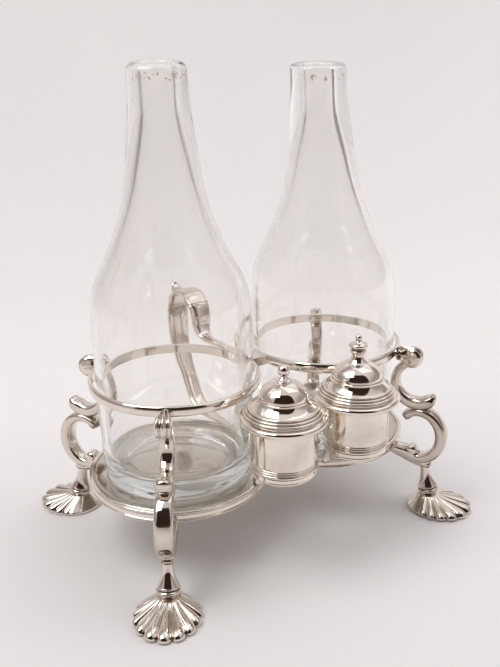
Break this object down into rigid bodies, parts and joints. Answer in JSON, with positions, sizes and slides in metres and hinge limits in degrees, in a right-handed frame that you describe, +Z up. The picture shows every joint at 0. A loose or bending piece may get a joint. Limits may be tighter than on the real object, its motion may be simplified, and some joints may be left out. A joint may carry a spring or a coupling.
{
  "type": "cruet set",
  "caption": "Silver cruet stand with shell feet and a scroll back handle, holding two tall glass bottles, with domed lift-off caps parked in holders at its front.",
  "frame": {"origin": "on the table, under the middle of the whole set", "axes": "+X runs from the left bottle to the right bottle, +Y points to the back, where the carrying handle is, +Z is up; the two cap holders are at the front, at -Y"},
  "size_m": [0.1758, 0.1448, 0.2041],
  "materials": {
    "silver_sheet": "polished silver sheet with fine wiping marks and light tarnish",
    "silver_cast": "cast silver, worn smooth, tarnish in the hollows",
    "silver_caps": "polished silver with fine scratches",
    "bottle_glass": "clear blown glass, slightly uneven"
  },
  "bodies": {
    "frame": {"tray_plate": "silver_sheet", "tray_border": "silver_sheet", "ring_bridge": "silver_sheet", "handle_strap": "silver_cast", "handle_scroll": "silver_cast", "thumb_piece": "silver_cast", "bottle_ring_left": "silver_sheet", "bottle_ring_right": "silver_sheet", "cap_holder_left": "silver_sheet", "cap_holder_right": "silver_sheet", "holder_bracket_left": "silver_cast", "holder_bracket_right": "silver_cast", "leaf_cap_front_left": "silver_cast", "leaf_cap_front_right": "silver_cast", "leaf_cap_back_left": "silver_cast", "leaf_cap_back_right": "silver_cast", "upper_scroll_front_left": "silver_cast", "upper_scroll_front_right": "silver_cast", "upper_scroll_back_left": "silver_cast", "upper_scroll_back_right": "silver_cast", "lower_scroll_front_left": "silver_cast", "lower_scroll_front_right": "silver_cast", "lower_scroll_back_left": "silver_cast", "lower_scroll_back_right": "silver_cast", "tray_bracket_front_left": "silver_cast", "tray_bracket_front_right": "silver_cast", "tray_bracket_back_left": "silver_cast", "tray_bracket_back_right": "silver_cast", "pillar_front_left": "silver_cast", "pillar_front_right": "silver_cast", "pillar_back_left": "silver_cast", "pillar_back_right": "silver_cast", "shell_foot_front_left": "silver_cast", "shell_foot_front_right": "silver_cast", "shell_foot_back_left": "silver_cast", "shell_foot_back_right": "silver_cast"},
    "bottle_left_body": {"bottle_left": "bottle_glass"},
    "bottle_right_body": {"bottle_right": "bottle_glass"},
    "cap_left": {"cap_dome_left": "silver_caps", "cap_sleeve_left": "silver_caps", "finial_left": "silver_caps"},
    "cap_right": {"cap_dome_right": "silver_caps", "cap_sleeve_right": "silver_caps", "finial_right": "silver_caps"}
  },
  "joints": [
    {"name": "bottle_left_lift", "type": "slide", "parent": "frame", "child": "bottle_left_body", "axis": [0, 0, 1], "range_m": [0, 0.06]},
    {"name": "bottle_right_lift", "type": "slide", "parent": "frame", "child": "bottle_right_body", "axis": [0, 0, 1], "range_m": [0, 0.06]},
    {"name": "cap_left_lift", "type": "slide", "parent": "frame", "child": "cap_left", "axis": [0, 0, 1], "range_m": [0, 0.03]},
    {"name": "cap_right_lift", "type": "slide", "parent": "frame", "child": "cap_right", "axis": [0, 0, 1], "range_m": [0, 0.03]}
  ]
}
